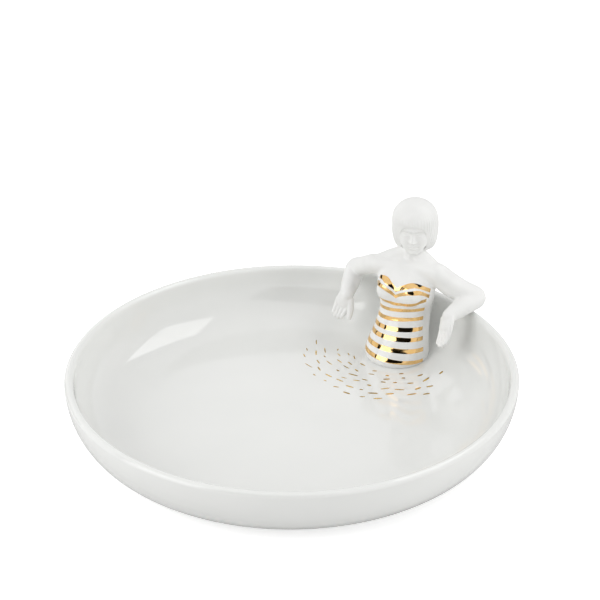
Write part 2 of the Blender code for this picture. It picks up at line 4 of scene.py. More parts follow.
import bmesh
import bpy
import numpy
from mathutils import Euler, Matrix, Vector
from mathutils.bvhtree import BVHTree


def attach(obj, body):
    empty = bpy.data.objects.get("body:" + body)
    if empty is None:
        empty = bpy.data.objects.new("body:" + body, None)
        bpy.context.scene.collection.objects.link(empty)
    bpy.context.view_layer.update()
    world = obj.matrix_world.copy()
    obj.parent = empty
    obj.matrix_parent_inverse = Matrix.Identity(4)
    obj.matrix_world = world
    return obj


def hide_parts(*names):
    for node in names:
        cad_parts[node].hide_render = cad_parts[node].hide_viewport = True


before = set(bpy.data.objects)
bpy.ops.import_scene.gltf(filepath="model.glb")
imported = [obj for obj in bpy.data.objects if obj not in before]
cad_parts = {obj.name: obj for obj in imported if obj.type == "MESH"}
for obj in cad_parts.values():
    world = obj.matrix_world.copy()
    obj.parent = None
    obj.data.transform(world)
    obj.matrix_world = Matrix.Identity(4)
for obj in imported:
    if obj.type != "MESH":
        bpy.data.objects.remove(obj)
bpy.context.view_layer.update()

# Shallow porcelain bowl with a small cast figure that leans on its wall, in a suit of gold
# bands. Metres, bowl's axis on Z, foot ring on Z = 0, the figure looks along -Y.

print("frame loaded:", len(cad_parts), "nodes")


# Small tools

meshing = {
    "ballSegments": (40, 28),
    "tubeSteps": 6,
    "tubeEnds": (84, 70, 50, 25),
    "tubeResolution": 8,
    "softening": 0.5,
    "sharpAngle": 60,
}


def direction(azimuth, elevation):
    around, above = math.radians(azimuth), math.radians(elevation)
    return Vector((math.sin(around) * math.cos(above), -math.cos(around) * math.cos(above), math.sin(above)))


def newMesh(name, points, faces):
    mesh = bpy.data.meshes.new(name)
    mesh.from_pydata([tuple(point) for point in points], [], faces)
    mesh.update()
    return mesh


def meshOf(name, shape):
    mesh = bpy.data.meshes.new(name)
    bmesh.ops.recalc_face_normals(shape, faces=shape.faces)
    shape.to_mesh(mesh)
    shape.free()
    return mesh


def placed(name, data):
    piece = bpy.data.objects.new(name, data)
    bpy.context.scene.collection.objects.link(piece)
    return piece


def newPiece(name, mesh, finish):
    mesh.materials.clear()
    mesh.materials.append(finish)
    mesh.shade_smooth()
    return placed(name, mesh)


# Final mesh of a helper piece, which is then deleted
def evaluated(piece):
    bpy.context.view_layer.update()
    graph = bpy.context.evaluated_depsgraph_get()
    mesh = bpy.data.meshes.new_from_object(piece.evaluated_get(graph))
    bpy.data.objects.remove(piece)
    return mesh


# Catmull-Rom run through rows of numbers
def smoothRows(rows, count):
    rows = [Vector(row) for row in rows]
    padded = [2 * rows[0] - rows[1]] + rows + [2 * rows[-1] - rows[-2]]
    run = []
    for index in range(count):
        place = index * (len(rows) - 1) / (count - 1)
        start = min(int(place), len(rows) - 2)
        t = place - start
        a, b, c, d = padded[start:start + 4]
        run.append(0.5 * (2 * b + (c - a) * t + (2 * a - 5 * b + 4 * c - d) * t ** 2
                          + (3 * b - a - 3 * c + d) * t ** 3))
    return run


# Middle and half depth of an oval that reaches unlike distances to the front and the back
def depths(front, back):
    return (back - front) / 2, (back + front) / 2


def oval(height, halfWidth, front, back, count):
    middle, halfDepth = depths(front, back)
    turns = [2 * math.pi * index / count for index in range(count)]
    return [Vector((halfWidth * math.cos(turn), middle + halfDepth * math.sin(turn), height))
            for turn in turns]


def addLoft(shape, rings):
    loops = [[shape.verts.new(point) for point in ring] for ring in rings]
    for lower, upper in zip(loops, loops[1:]):
        for index in range(len(lower)):
            after = (index + 1) % len(lower)
            shape.faces.new((lower[index], lower[after], upper[after], upper[index]))
    shape.faces.new(loops[0])
    shape.faces.new(loops[-1])


def addBall(shape, centre, radii, turn=Matrix.Identity(4)):
    around, along = meshing["ballSegments"]
    place = Matrix.Translation(centre) @ turn @ Matrix.Diagonal((*radii, 1))
    bmesh.ops.create_uvsphere(shape, u_segments=around, v_segments=along, radius=1, matrix=place)


# Tapering tube with round ends, made with a bevelled curve
def addTube(shape, points, radii):
    rows = [(*point, radius) for point, radius in zip(points, radii)]
    run = smoothRows(rows, meshing["tubeSteps"] * len(rows))
    ends = [math.radians(angle) for angle in meshing["tubeEnds"]]
    first, last = run[0], run[-1]
    back = (first.xyz - run[1].xyz).normalized() * first.w
    ahead = (last.xyz - run[-2].xyz).normalized() * last.w
    head = [(*(first.xyz + back * math.sin(a)), first.w * math.cos(a)) for a in ends]
    tail = [(*(last.xyz + ahead * math.sin(a)), last.w * math.cos(a)) for a in reversed(ends)]
    run = head + [tuple(row) for row in run] + tail
    curve = bpy.data.curves.new("tube", "CURVE")
    curve.dimensions = "3D"
    curve.bevel_depth = 1
    curve.bevel_resolution = meshing["tubeResolution"]
    curve.use_fill_caps = True
    spline = curve.splines.new("POLY")
    spline.points.add(len(run) - 1)
    for point, row in zip(spline.points, run):
        point.co = (*row[:3], 1)
        point.radius = row[3]
    shape.from_mesh(evaluated(placed("tube", curve)))


# Overlapping forms run together into one skin
def blended(mesh, voxel, passes):
    form = placed("form", mesh)
    remesh = form.modifiers.new("Blend", "REMESH")
    remesh.mode = "VOXEL"
    remesh.voxel_size = voxel
    soften = form.modifiers.new("Soften", "SMOOTH")
    soften.factor = meshing["softening"]
    soften.iterations = passes
    return evaluated(form)


# Fewer faces where the skin runs smooth
def thinned(mesh, triangles):
    form = placed("skin", mesh)
    thin = form.modifiers.new("Thin", "DECIMATE")
    thin.ratio = triangles / sum(len(face.vertices) - 2 for face in mesh.polygons)
    return evaluated(form)


# Thin closed layer between two grids of points, each a number of points across
def addLayer(points, faces, above, below, across):
    start, shift, rows = len(points), len(above), len(above) // across
    points += above + below
    for row in range(rows - 1):
        for column in range(across - 1):
            corner = start + row * across + column
            face = (corner, corner + 1, corner + across + 1, corner + across)
            faces += [face, tuple(index + shift for index in reversed(face))]
    edge = [*range(across), *range(2 * across - 1, rows * across, across)]
    edge += [*range(rows * across - 2, (rows - 1) * across, -1), *range((rows - 1) * across, 0, -across)]
    for near, far in zip(edge, edge[1:] + edge[:1]):
        faces.append((start + far, start + near, start + near + shift, start + far + shift))


# Smooth over the layer and sharp at its rim
def layerPiece(name, points, faces, finish):
    piece = newPiece(name, newMesh(name, points, faces), finish)
    piece.data.set_sharp_from_angle(angle=math.radians(meshing["sharpAngle"]))
    return piece


# Camera

cameraShape = {
    "target": (0, 0, 0.032),
    "distance": 0.945,
    "azimuth": 31.0,
    "elevation": 30.379,
    "yaw": 0.2456,
    "pitch": 1.9142,
    "roll": -0.3813,
    "lens": 122.41,
    "sensor": 36,
    "clip": (0.05, 20),
}


def placeCamera():
    around = math.radians(cameraShape["azimuth"])
    back = direction(cameraShape["azimuth"], cameraShape["elevation"])
    right = Vector((math.cos(around), math.sin(around), 0))
    turn = Matrix((right, back.cross(right), back)).transposed()
    yaw, pitch, roll = (math.radians(cameraShape[name]) for name in ("yaw", "pitch", "roll"))
    aim = Euler((0, -yaw, 0)).to_matrix() @ Euler((pitch, 0, 0)).to_matrix() @ Euler((0, 0, roll)).to_matrix()
    camera = placed("camera", bpy.data.cameras.new("camera"))
    camera.data.lens = cameraShape["lens"]
    camera.data.sensor_width = cameraShape["sensor"]
    camera.data.clip_start, camera.data.clip_end = cameraShape["clip"]
    place = Vector(cameraShape["target"]) + back * cameraShape["distance"]
    camera.matrix_world = Matrix.Translation(place) @ (turn @ aim).to_4x4()
    bpy.context.scene.camera = camera


placeCamera()
print("camera placed")


# Finishes: sizes of the noise and depths of the bumps are in metres

finishes = {
    "glaze": {
        "white": (0.83, 0.835, 0.815), "shade": (0.81, 0.817, 0.797), "clouds": 0.035,
        "roughness": 0.06, "smears": 0.012, "uneven": (0.7, 1.4),
        "wave": 0.05, "waveSize": 0.022, "waveDetail": 1.0, "waveDepth": 0.0004,
        "pinholes": 0.25, "pinholeSize": 0.0016, "pinholeDepth": 0.00002,
        "coat": 0.5, "coatRoughness": 0.03, "refraction": 1.5,
    },
    "satin": {
        "white": (0.86, 0.86, 0.845), "shade": (0.82, 0.82, 0.805), "clouds": 0.009,
        "roughness": 0.42, "smears": 0.004, "uneven": (0.85, 1.15), "suitRoughness": 0.12,
        "wave": 0.10, "waveSize": 0.0011, "waveDetail": 3.0, "waveDepth": 0.00002, "refraction": 1.48,
    },
    # what both golds share, and what is their own
    "lustre": {
        "brush": 0.0035, "brushDetail": 3.0, "stops": (0.35, 0.6), "smears": 0.002, "uneven": (0.6, 1.8),
        "waveSize": 0.0022, "waveDetail": 1.0, "waveDepth": 0.00006,
    },
    "goldLustre": {
        "bright": (0.84, 0.56, 0.25), "deep": (0.78, 0.49, 0.19), "roughness": 0.06, "wave": 0.08,
    },
    "paintedGold": {
        "bright": (0.72, 0.49, 0.14), "deep": (0.36, 0.24, 0.07), "roughness": 0.22, "wave": 0.20,
    },
}


class NodeBoard:
    def __init__(self, name):
        self.finish = bpy.data.materials.new(name)
        self.finish.use_nodes = True
        self.tree = self.finish.node_tree
        self.shader = self.tree.nodes["Principled BSDF"]
        self.where = self.add("ShaderNodeTexCoord").outputs["Object"]

    def add(self, kind, **settings):
        node = self.tree.nodes.new(kind)
        for key, value in settings.items():
            if key in node.inputs:
                node.inputs[key].default_value = value
            else:
                setattr(node, key, value)
        return node

    def join(self, start, end):
        self.tree.links.new(start, end)

    def feed(self, socket, output):
        self.join(output, self.shader.inputs[socket])

    def fix(self, socket, value):
        self.shader.inputs[socket].default_value = value

    def noise(self, size, detail=2.0):
        node = self.add("ShaderNodeTexNoise", Scale=1 / size, Detail=detail)
        self.join(self.where, node.inputs["Vector"])
        return node.outputs["Fac"]

    # Noise runs from one colour to another between two of its levels
    def colours(self, value, dark, light, start=0.3, end=0.7):
        ramp = self.add("ShaderNodeValToRGB")
        for stop, place, colour in zip(ramp.color_ramp.elements, (start, end), (dark, light)):
            stop.position = place
            stop.color = (*colour, 1)
        self.join(value, ramp.inputs["Fac"])
        return ramp.outputs["Color"]

    def grey(self, tone, darkest, size):
        self.feed("Base Color", self.colours(self.noise(size), (tone * darkest,) * 3, (tone,) * 3))

    def spread(self, value, low, high, fromLow=0.3, fromHigh=0.7):
        node = self.add("ShaderNodeMapRange")
        for key, number in (("From Min", fromLow), ("From Max", fromHigh), ("To Min", low), ("To Max", high)):
            node.inputs[key].default_value = number
        self.join(value, node.inputs["Value"])
        return node.outputs["Result"]

    def smeared(self, look):
        low, high = (look["roughness"] * share for share in look["uneven"])
        return self.spread(self.noise(look["smears"]), low, high)

    def bump(self, height, depth, strength, under=None):
        node = self.add("ShaderNodeBump", Distance=depth, Strength=strength)
        self.join(height, node.inputs["Height"])
        if under:
            self.join(under, node.inputs["Normal"])
        return node.outputs["Normal"]

    def waves(self, look):
        return self.bump(self.noise(look["waveSize"], look["waveDetail"]), look["waveDepth"], look["wave"])


# Clear gloss glaze over white porcelain: faint clouding, slow waves, a few pinholes
def glazedPorcelain():
    look = finishes["glaze"]
    board = NodeBoard("glazedPorcelain")
    board.feed("Base Color", board.colours(board.noise(look["clouds"]), look["shade"], look["white"]))
    board.feed("Roughness", board.smeared(look))
    pinholes = board.noise(look["pinholeSize"])
    board.feed("Normal", board.bump(pinholes, look["pinholeDepth"], look["pinholes"], board.waves(look)))
    board.fix("Coat Weight", look["coat"])
    board.fix("Coat Roughness", look["coatRoughness"])
    board.fix("IOR", look["refraction"])
    return board.finish


# Satin porcelain, glazed where the suit is painted: the mix node's sockets are 0 for the
# share, 2 and 3 for the two values
def satinPorcelain():
    look = finishes["satin"]
    board = NodeBoard("satinPorcelain")
    board.feed("Base Color", board.colours(board.noise(look["clouds"]), look["shade"], look["white"]))
    suit = board.add("ShaderNodeAttribute", attribute_name="suit")
    mix = board.add("ShaderNodeMix", data_type="FLOAT")
    board.join(suit.outputs["Fac"], mix.inputs[0])
    board.join(board.smeared(look), mix.inputs[2])
    mix.inputs[3].default_value = look["suitRoughness"]
    board.feed("Roughness", mix.outputs[0])
    board.feed("Normal", board.waves(look))
    board.fix("IOR", look["refraction"])
    return board.finish


# Fired gold lustre: mirror-bright on the suit, thin and dull where it is brushed on the floor
def goldLustre(name):
    look = {**finishes["lustre"], **finishes[name]}
    board = NodeBoard(name)
    brush = board.noise(look["brush"], look["brushDetail"])
    board.feed("Base Color", board.colours(brush, look["deep"], look["bright"], *look["stops"]))
    board.feed("Roughness", board.smeared(look))
    board.feed("Normal", board.waves(look))
    board.fix("Metallic", 1)
    return board.finish


glaze = glazedPorcelain()
satin = satinPorcelain()
gold = goldLustre("goldLustre")
paintedGold = goldLustre("paintedGold")
print("finishes made")


# Bowl

bowlShape = {
    "diameter": 0.210,
    "height": 0.032,
    "wall": 0.0042,
    "floor": 0.005,
    "footHeight": 0.0015,
    "footWidth": 0.004,
    "footDraft": 0.0005,
    "footEdge": 0.0003,
    "outerFlat": 0.656,
    "innerFlat": 0.667,
    "wallCurve": (0.6986, 0.921),
    "steps": 240,
    "wallPoints": 44,
    "wallCrowding": 1.3,
    "rimPoints": 20,
    "floorRings": (0.3, 0.6, 0.9),
    "middleRadius": 0.001,
}
rimRadius = bowlShape["diameter"] / 2
floorTop = bowlShape["footHeight"] + bowlShape["floor"]


def wallSide(flat, radius, floor, top, rimHeight):
    spread, rise = bowlShape["wallCurve"]
    end = math.acos((1 - (rimHeight - floor) / (top - floor)) ** (1 / rise))
    run = []
    for index in range(bowlShape["wallPoints"] + 1):
        turn = end * (index / bowlShape["wallPoints"]) ** bowlShape["wallCrowding"]
        run.append((flat + (radius - flat) * math.sin(turn) ** spread,
                    floor + (top - floor) * (1 - math.cos(turn) ** rise)))
    return run


# Radius and height of each ring, from the floor's middle over the rim to the middle underneath
def bowlOutline():
    half, top, foot = bowlShape["wall"] / 2, bowlShape["height"], bowlShape["footHeight"]
    rimHeight, rimMiddle = top - half, rimRadius - half
    innerFlat, flat = (rimRadius * bowlShape[side] for side in ("innerFlat", "outerFlat"))
    middle = [(bowlShape["middleRadius"], floorTop)]
    middle += [(innerFlat * share, floorTop) for share in bowlShape["floorRings"]]
    inner = wallSide(innerFlat, rimMiddle - half, floorTop, top, rimHeight)
    outer = wallSide(flat, rimRadius, foot, top, rimHeight)
    turns = [math.pi * index / bowlShape["rimPoints"] for index in range(1, bowlShape["rimPoints"])]
    rim = [(rimMiddle - half * math.cos(turn), rimHeight + half * math.sin(turn)) for turn in turns]
    soft, draft = bowlShape["footEdge"], bowlShape["footDraft"]
    outside = flat - draft
    inside = outside - bowlShape["footWidth"]
    ring = [(outside + soft / 4, soft), (outside - soft / 2, 0), (inside + soft / 2, 0),
            (inside - soft / 4, soft), (inside - draft, foot)]
    return middle + inner + rim + outer[::-1] + ring + [(bowlShape["middleRadius"], foot)]


def makeBowl():
    outline = bowlOutline()
    steps = bowlShape["steps"]
    turns = [2 * math.pi * step / steps for step in range(steps)]
    points = [(radius * math.cos(turn), radius * math.sin(turn), height)
              for radius, height in outline for turn in turns]
    faces = []
    for near in range(0, len(points) - steps, steps):
        for step in range(steps):
            after, far = (step + 1) % steps, near + steps
            faces.append((far + step, far + after, near + after, near + step))
    faces += [tuple(range(steps)), tuple(reversed(range(len(points) - steps, len(points))))]
    bowl = newPiece("porcelainBowl", newMesh("porcelainBowl", points, faces), glaze)
    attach(bowl, "root")
    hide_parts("bowl")
    return bowl


bowl = makeBowl()
print("bowl turned:", len(bowl.data.polygons), "faces")


# Figure

figureShape = {
    "turn": 11.0,
    "baseRadius": 0.0156,
    "baseToWall": 0.0074,
    "baseSink": 0.0004,
    "torsoHeight": 0.048,
    "torsoRows": 90,
    "torsoColumns": 96,
    "neckRadius": 0.0041,
    "neckRise": 0.0075,
    "neckLean": 0.865,
    "neckFoot": 1.15,
    "nape": (0.50, 0.30),
    "napeWidths": (1.00, 0.88, 0.95),
    "girdle": 0.75,
    "bustRadius": 0.0062,
    "bustDepth": 0.65,
    "bustPlace": (0.93, 0.695),
    # height, lean back, half width, half depth
    "torso": (
        (-0.04, 0.00, 1.00, 1.00), (0.00, 0.00, 1.00, 1.00), (0.05, 0.01, 1.03, 1.03),
        (0.135, 0.09, 0.985, 0.93), (0.24, 0.24, 0.91, 0.78), (0.32, 0.35, 0.87, 0.71),
        (0.39, 0.45, 0.85, 0.67), (0.48, 0.53, 0.845, 0.655), (0.56, 0.53, 0.90, 0.67),
        (0.66, 0.52, 0.945, 0.71), (0.74, 0.55, 0.97, 0.72), (0.82, 0.62, 0.99, 0.66),
        (0.91, 0.72, 0.94, 0.50), (1.00, 0.84, 0.60, 0.30),
    ),
    "suitReach": 1.05,
    "bodyVoxel": 0.0006,
    "torsoSmoothing": 16,
    "bodySmoothing": 10,
    "fineVoxel": 0.0002,
    "fineSmoothing": 3,
    "triangles": 190000,
}

# Shoulders are placed in shares of the torso's radius and height, elbows, wrists and tips in
# lengths of the forearm from the torso's axis at the height of the rim
armShapes = {
    "left": {
        "side": 1,
        "shoulder": (1.045, 0.615, 0.925),
        "elbow": (1.839, 1.050, 0.333),
        "wrist": (1.489, 0.111, 0.111),
        "tip": (1.505, -0.400, -0.640),
        "palmTurn": -30,
        "thumb": (-0.05, 0.45),
        "sag": 0.12,
        "underarm": (0.46, 0.66, 0.56),
    },
    "right": {
        "side": -1,
        "shoulder": (-1.205, 0.564, 0.850),
        "elbow": (-1.956, 1.139, 0.211),
        "wrist": (-1.611, 0.044, -0.039),
        "tip": (-1.800, -0.245, -0.715),
        "palmTurn": 12,
        "thumb": (0.42, 0.00),
        "sag": 0.00,
        "underarm": (0.15, 0.15, 0.10),
    },
    "radius": 0.0052,
    "radii": (1.00, 0.95, 0.93, 0.92, 0.94, 0.86, 0.66),
    "knots": (0, 0.33, 0.66, 1),
    "underarmRadii": (0.84, 0.84, 0.76),
    "forearm": 0.018,
}

handShape = {
    "palmWidth": 0.0088,
    "palmThickness": 0.0044,
    "palm": (0.46, 0.45, 0.75),
    "fingerRadius": 0.0013,
    "fingerSpread": 0.0020,
    "fingerLengths": (0.88, 1.00, 0.96, 0.80),
    "fingerRadii": (1.00, 1.00, 0.86),
    "fingerClose": 0.80,
    "fingerBend": 0.35,
    "thumbLength": 0.0088,
    "thumbRadii": (1.45, 1.30, 1.00),
    "thumbBend": 0.40,
    "thumbRoot": 0.30,
}

baseDistance = rimRadius - bowlShape["wall"] - figureShape["baseToWall"] - figureShape["baseRadius"]
figureTurn = math.radians(figureShape["turn"])
figureOrigin = Vector((baseDistance * math.sin(figureTurn), baseDistance * math.cos(figureTurn), floorTop))
neckLean = figureShape["neckLean"] * figureShape["baseRadius"]
neckTop = figureShape["torsoHeight"] + figureShape["neckRise"]


def fromFloor(place):
    return figureOrigin + Vector(place)


def fromRim(place):
    return fromFloor(place) + Vector((0, 0, bowlShape["height"] - floorTop))


# How far the torso's middle leans back at a height above the floor
def torsoLean(height):
    heights = [row[0] * figureShape["torsoHeight"] for row in figureShape["torso"]]
    leans = [row[1] * figureShape["baseRadius"] for row in figureShape["torso"]]
    return numpy.interp(height, heights, leans)


def addTorso(shape):
    base, tall = figureShape["baseRadius"], figureShape["torsoHeight"]
    columns = figureShape["torsoColumns"]
    rings = []
    for height, lean, width, depth in smoothRows(figureShape["torso"], figureShape["torsoRows"]):
        ring = oval(height * tall, width * base, (depth - lean) * base, (depth + lean) * base, columns)
        rings.append([fromFloor(point) for point in ring])
    rings[0] = [Vector((point.x, point.y, floorTop - figureShape["baseSink"])) for point in rings[0]]
    addLoft(shape, rings)
    radius = figureShape["bustRadius"]
    spread, height = figureShape["bustPlace"]
    for side in (-1, 1):
        addBall(shape, fromFloor((side * spread * radius, 0, height * tall)),
                (radius, radius * figureShape["bustDepth"], radius))


def addNeck(shape):
    radius, tall = figureShape["neckRadius"], figureShape["torsoHeight"]
    foot = fromFloor((0, neckLean - radius / 2, tall - 2 * radius))
    top = fromFloor((0, neckLean + radius / 4, neckTop))
    addTube(shape, [foot, (foot + top) / 2, top], [figureShape["neckFoot"] * radius, radius, radius])


# Shoulders, and the slope from the nape to each of them
def addGirdle(shape, left, right):
    radius, tall = figureShape["neckRadius"], figureShape["torsoHeight"]
    wide = armShapes["radius"] * armShapes["radii"][0]
    middle = fromFloor((0, neckLean - radius, tall - radius))
    addTube(shape, [left, middle, right], [wide, figureShape["girdle"] * wide, wide])
    nape = fromFloor((0, neckLean + radius / 3, tall + radius / 2))
    share, lift = figureShape["nape"]
    for shoulder in (left, right):
        fall = nape.lerp(shoulder, share) + Vector((0, 0, lift * radius))
        addTube(shape, [nape, fall, shoulder], [radius * width for width in figureShape["napeWidths"]])


def armPoints(arm):
    base = figureShape["baseRadius"]
    sideways, back, rise = arm["shoulder"]
    place = {"shoulder": fromFloor((sideways * base, back * base, rise * figureShape["torsoHeight"]))}
    for name in ("elbow", "wrist", "tip"):
        place[name] = fromRim(Vector(arm[name]) * armShapes["forearm"])
    return place


def addArm(shape, arm):
    place = armPoints(arm)
    wide = armShapes["radius"]
    down = Vector((0, 0, -wide))
    upper = [place["shoulder"].lerp(place["elbow"], share) + down * arm["sag"] * 4 * share * (1 - share)
             for share in armShapes["knots"]]
    lower = [place["elbow"].lerp(place["wrist"], share) for share in armShapes["knots"][1:]]
    addTube(shape, upper + lower, [wide * share for share in armShapes["radii"]])
    under = [point + down * drop for point, drop in zip(upper, arm["underarm"])]
    addTube(shape, under, [wide * share for share in armShapes["underarmRadii"]])


def handFrame(arm):
    place = armPoints(arm)
    reach = place["tip"] - place["wrist"]
    along = reach.normalized()
    turn = math.radians(arm["palmTurn"])
    level = Vector((math.cos(turn), math.sin(turn), 0))
    across = (level - along * along.dot(level)).normalized() * arm["side"]
    return place["wrist"], reach.length, along, across, across.cross(along)


def addPalm(shape, arm):
    wrist, reach, along, across, facing = handFrame(arm)
    turn = Matrix((across, facing, along)).transposed().to_4x4()
    lengthShare, middleShare, reachShare = handShape["palm"]
    palm = reach * lengthShare
    addBall(shape, wrist + along * palm * middleShare,
            (handShape["palmWidth"] / 2, handShape["palmThickness"] / 2, palm * reachShare), turn)


def addFingers(shape, arm):
    wrist, reach, along, across, facing = handFrame(arm)
    palm = reach * handShape["palm"][0]
    knuckles = wrist + along * palm
    slim = handShape["fingerRadius"]
    row = (len(handShape["fingerLengths"]) - 1) / 2
    for index, share in enumerate(handShape["fingerLengths"]):
        offset = across * handShape["fingerSpread"] * (index - row)
        root = knuckles + offset - along * 2 * slim
        tip = knuckles + offset * handShape["fingerClose"] + along * ((reach - palm) * share - slim)
        bend = (root + tip) / 2 + facing * slim * handShape["fingerBend"] * arm["side"]
        addTube(shape, [root, bend, tip], [slim * radius for radius in handShape["fingerRadii"]])
    root = wrist + (along * palm - across * handShape["palmWidth"]) * handShape["thumbRoot"]
    spread, back = arm["thumb"]
    tip = root + (along - across * spread + Vector((0, back, 0))).normalized() * handShape["thumbLength"]
    bend = (root + tip) / 2 - across * slim * handShape["thumbBend"]
    addTube(shape, [root, bend, tip], [slim * radius for radius in handShape["thumbRadii"]])


# Head, in shares of its height from chin to crown, without the hair

headShape = {
    "height": 0.0250,
    "back": 0.088,
    "rise": 0.316,
    "turn": 22.0,
    "bow": 6.0,
    # height, half width, front, back
    "skull": (
        (-0.47, 0.075, 0.31, -0.13), (-0.45, 0.125, 0.342, -0.04), (-0.41, 0.175, 0.360, 0.05),
        (-0.32, 0.245, 0.365, 0.17), (-0.20, 0.295, 0.368, 0.27), (-0.05, 0.320, 0.370, 0.35),
        (0.10, 0.330, 0.378, 0.40), (0.25, 0.325, 0.370, 0.41), (0.37, 0.280, 0.315, 0.37),
        (0.46, 0.18, 0.20, 0.26), (0.50, 0.03, 0.03, 0.04),
    ),
    "skullSquare": 2.3,
    "skullGrid": (180, 220),
    # place to the side and up, spread to the side and up, rise: each is mirrored
    "features": (
        (0.000, 0.060, 0.055, 0.040, 0.008), (0.120, 0.090, 0.080, 0.024, 0.020),
        (0.130, 0.018, 0.060, 0.042, -0.050), (0.130, 0.000, 0.048, 0.027, 0.042),
        (0.130, 0.033, 0.055, 0.008, -0.014), (0.130, -0.010, 0.046, 0.006, -0.020),
        (0.130, -0.034, 0.045, 0.010, 0.006), (0.000, 0.030, 0.022, 0.035, 0.016),
        (0.000, -0.020, 0.024, 0.035, 0.028), (0.000, -0.070, 0.027, 0.035, 0.038),
        (0.000, -0.112, 0.031, 0.030, 0.046), (0.000, -0.146, 0.036, 0.022, 0.050),
        (0.046, -0.158, 0.022, 0.019, 0.032), (0.000, -0.190, 0.052, 0.012, -0.014),
        (0.200, -0.085, 0.070, 0.070, 0.014), (0.105, -0.220, 0.030, 0.050, -0.006),
        (0.000, -0.222, 0.012, 0.022, -0.009), (0.000, -0.260, 0.076, 0.015, 0.024),
        (0.000, -0.281, 0.076, 0.006, -0.030), (0.000, -0.302, 0.056, 0.016, 0.030),
        (0.098, -0.280, 0.014, 0.012, -0.014), (0.000, -0.342, 0.065, 0.018, -0.014),
        (0.000, -0.408, 0.080, 0.042, 0.020),
    ),
    # height, half width, front, back
    "hair": (
        (-0.53, 0.325, 0.10, 0.34), (-0.46, 0.395, 0.17, 0.42), (-0.25, 0.442, 0.28, 0.48),
        (0.05, 0.456, 0.375, 0.50), (0.25, 0.432, 0.405, 0.48), (0.40, 0.354, 0.335, 0.39),
        (0.50, 0.22, 0.20, 0.25), (0.54, 0.05, 0.05, 0.06),
    ),
    "hairGrid": (70, 120),
    # opening for the face: each end of the cut has a place and a size
    "window": {
        "middle": -0.24, "halfWidth": 0.272, "halfHeight": 0.43, "square": 2.8, "points": 64,
        "ends": ((-0.8, 1.25), (-0.12, 0.88)),
    },
    "strands": {
        "depth": 0.0030, "count": 46, "middle": 0.02, "slant": 3, "sway": 7,
        "fineShare": 0.6, "fineCount": 1.7, "fineSlant": -4, "fineStart": 1,
        "zone": (-0.535, 0.5), "reach": (0.93, 1.07), "stand": 0.018, "blend": 0.02,
        "crown": 0.46, "crownFade": 0.2,
    },
}


def headPose():
    height = headShape["height"]
    centre = fromFloor((0, neckLean + headShape["back"] * height, neckTop + headShape["rise"] * height))
    turn = Euler((math.radians(headShape["bow"]), 0, math.radians(headShape["turn"])))
    return Matrix.Translation(centre) @ turn.to_matrix().to_4x4()


# Skull and face in one closed skin: the features rise from the front of its rings
def faceMesh():
    rows, columns = headShape["skullGrid"]
    power = 2 / headShape["skullSquare"]
    rings = []
    for height, width, front, back in smoothRows(headShape["skull"], rows):
        ring = numpy.array(oval(height, width, front, back, columns))
        middle, deep = depths(front, back)
        share = (ring[:, :2] - (0, middle)) / (width, deep)
        ring[:, :2] = numpy.sign(share) * numpy.abs(share) ** power * (width, deep) + (0, middle)
        facing = numpy.clip(-(ring[:, 1] - middle) / deep, 0, 1) ** 0.5
        for x, z, wide, tall, rise in headShape["features"]:
            for side in ((-1, 1) if x else (1,)):
                near = numpy.exp(-((ring[:, 0] - side * x) / wide) ** 2 / 2 - ((height - z) / tall) ** 2 / 2)
                ring[:, 1] -= rise * near * facing
        rings.append([Vector(point) * headShape["height"] for point in ring])
    shape = bmesh.new()
    addLoft(shape, rings)
    return meshOf("face", shape)


def windowMesh():
    window, size = headShape["window"], headShape["height"]
    power = 2 / window["square"]
    outline = []
    for index in range(window["points"]):
        turn = 2 * math.pi * index / window["points"]
        x = math.copysign(abs(math.cos(turn)) ** power, math.cos(turn)) * window["halfWidth"]
        z = math.copysign(abs(math.sin(turn)) ** power, math.sin(turn)) * window["halfHeight"]
        outline.append((x * size, (z + window["middle"]) * size))
    shape = bmesh.new()
    addLoft(shape, [[Vector((x * share, depth * size, z * share)) for x, z in outline]
                    for depth, share in window["ends"]])
    return meshOf("window", shape)


def hairMesh():
    size = headShape["height"]
    rows, columns = headShape["hairGrid"]
    shape = bmesh.new()
    addLoft(shape, [oval(height * size, width * size, front * size, back * size, columns)
                    for height, width, front, back in smoothRows(headShape["hair"], rows)])
    hair = placed("hair", meshOf("hair", shape))
    cutter = placed("window", windowMesh())
    hair.modifiers.new("Window", "BOOLEAN").object = cutter
    mesh = evaluated(hair)
    bpy.data.objects.remove(cutter)
    return mesh


# Torso, then body with arms and palms, then fingers and head: each is blended with the last
def figureSkin():
    voxel = figureShape["bodyVoxel"]
    torso = bmesh.new()
    addTorso(torso)
    body = bmesh.new()
    body.from_mesh(blended(meshOf("torso", torso), voxel, figureShape["torsoSmoothing"]))
    addNeck(body)
    arms = (armShapes["left"], armShapes["right"])
    addGirdle(body, *[armPoints(arm)["shoulder"] for arm in arms])
    for arm in arms:
        addArm(body, arm)
        addPalm(body, arm)
    shape = bmesh.new()
    shape.from_mesh(blended(meshOf("body", body), voxel, figureShape["bodySmoothing"]))
    for arm in arms:
        addFingers(shape, arm)
    head = bmesh.new()
    head.from_mesh(faceMesh())
    head.from_mesh(hairMesh())
    bmesh.ops.transform(head, matrix=headPose(), verts=head.verts)
    addNeck(head)
    shape.from_mesh(meshOf("head", head))
    return blended(meshOf("figure", shape), figureShape["fineVoxel"], figureShape["fineSmoothing"])


def vertexRows(mesh, name):
    rows = numpy.empty(len(mesh.vertices) * 3)
    mesh.vertices.foreach_get(name, rows)
    return rows.reshape(-1, 3)


